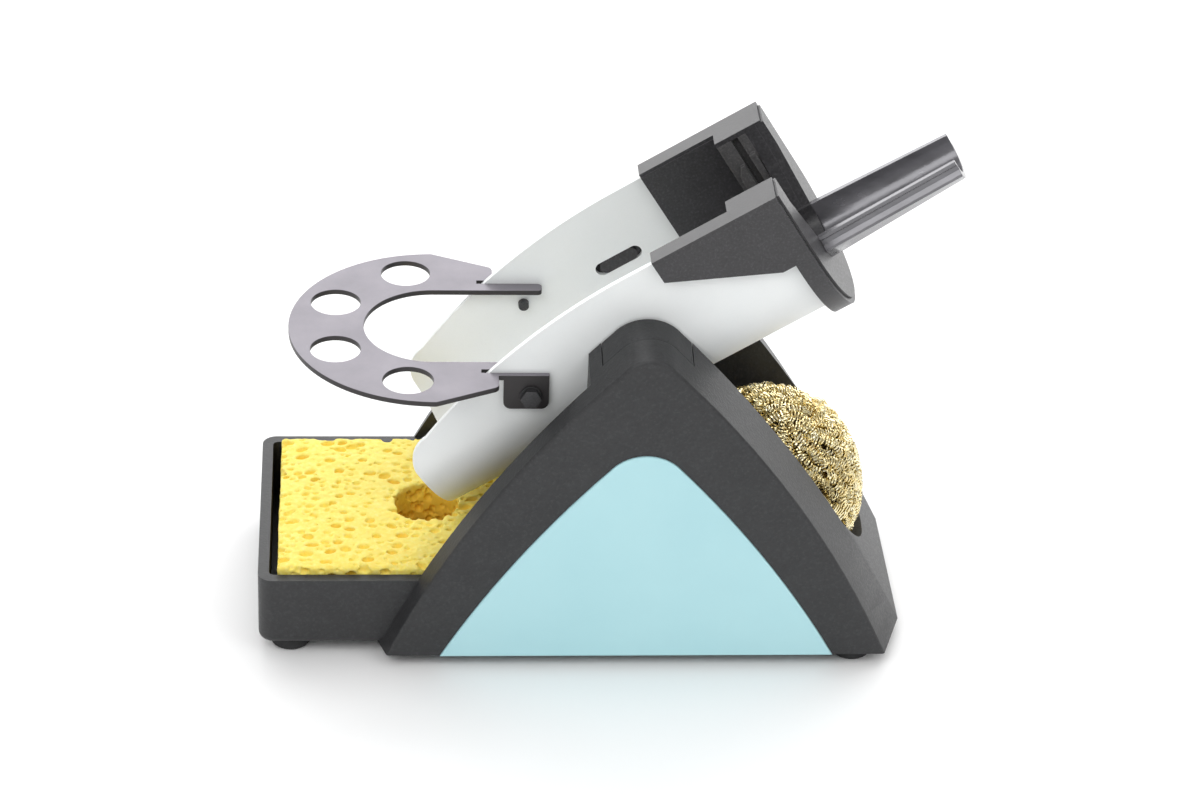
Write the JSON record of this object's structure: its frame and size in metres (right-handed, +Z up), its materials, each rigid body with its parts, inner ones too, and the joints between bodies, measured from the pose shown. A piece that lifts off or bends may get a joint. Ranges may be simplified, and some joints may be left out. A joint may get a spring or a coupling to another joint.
{
  "type": "soldering iron station",
  "caption": "Bench stand for a soldering iron: weighted A-frame base with wet sponge tray and brass wool, tilting metal channel holder with tip plate and handle gutter.",
  "frame": {"origin": "bottom centre of the box around the whole station, on the bench surface under the feet", "axes": "+Z up, +X from the sponge tray towards the handle gutter, +Y across the station; Y = 0 is its mirror plane"},
  "size_m": [0.1883, 0.085, 0.139],
  "materials": {
    "housing": "fine spark-eroded texture, matte",
    "bearing_cap": "fine texture, matte",
    "cover": "moulded, matte",
    "panel": "light blue satin plastic",
    "rubber": "matte rubber",
    "ballast": "raw",
    "screw": "zinc plated",
    "black_screw": "black oxide",
    "hub": "moulded, matte",
    "coated_sheet": "light grey satin powder coat",
    "plate": "dark satin coating, bare laser-cut edge",
    "insert": "fine moulded texture",
    "gutter": "polished black",
    "sponge": "open-cell cellulose sponge",
    "brass_wool": "curled brass ribbon, mostly air"
  },
  "bodies": {
    "base": {"base_housing": "housing", "bottom_cover": "cover", "cover_screws": "screw", "side_panel_near": "panel", "side_panel_far": "panel", "bearing_cap_near": "bearing_cap", "bearing_cap_far": "bearing_cap", "ballast_near": "ballast", "ballast_far": "ballast", "foot_left_near": "rubber", "foot_left_far": "rubber", "foot_right_near": "rubber", "foot_right_far": "rubber"},
    "sponge_pad": {"sponge": "sponge"},
    "wool_pad": {"brass_wool": "brass_wool"},
    "holder": {"trough_channel": "coated_sheet", "tip_plate": "plate", "tab_screws": "black_screw", "pivot_hub_near": "hub", "pivot_hub_far": "hub"},
    "insert": {"holder_insert": "insert", "holder_flange": "insert", "handle_gutter": "gutter", "jaw_near": "insert", "jaw_far": "insert"}
  },
  "joints": [
    {"name": "holder_tilt", "type": "hinge", "parent": "base", "child": "holder", "pos_m": [0.009, 0, 0.0882], "axis": [0, 1, 0], "range_deg": [-2, 16]},
    {"name": "sponge_lift", "type": "slide", "parent": "base", "child": "sponge_pad", "axis": [0, 0, 1], "range_m": [0, 0.003]},
    {"name": "wool_pull", "type": "slide", "parent": "base", "child": "wool_pad", "axis": [0.866, 0, 0.5], "range_m": [0, 0.05]},
    {"name": "insert_pull", "type": "slide", "parent": "holder", "child": "insert", "axis": [0.8453, 0, 0.5344], "range_m": [0, 0.045]}
  ]
}
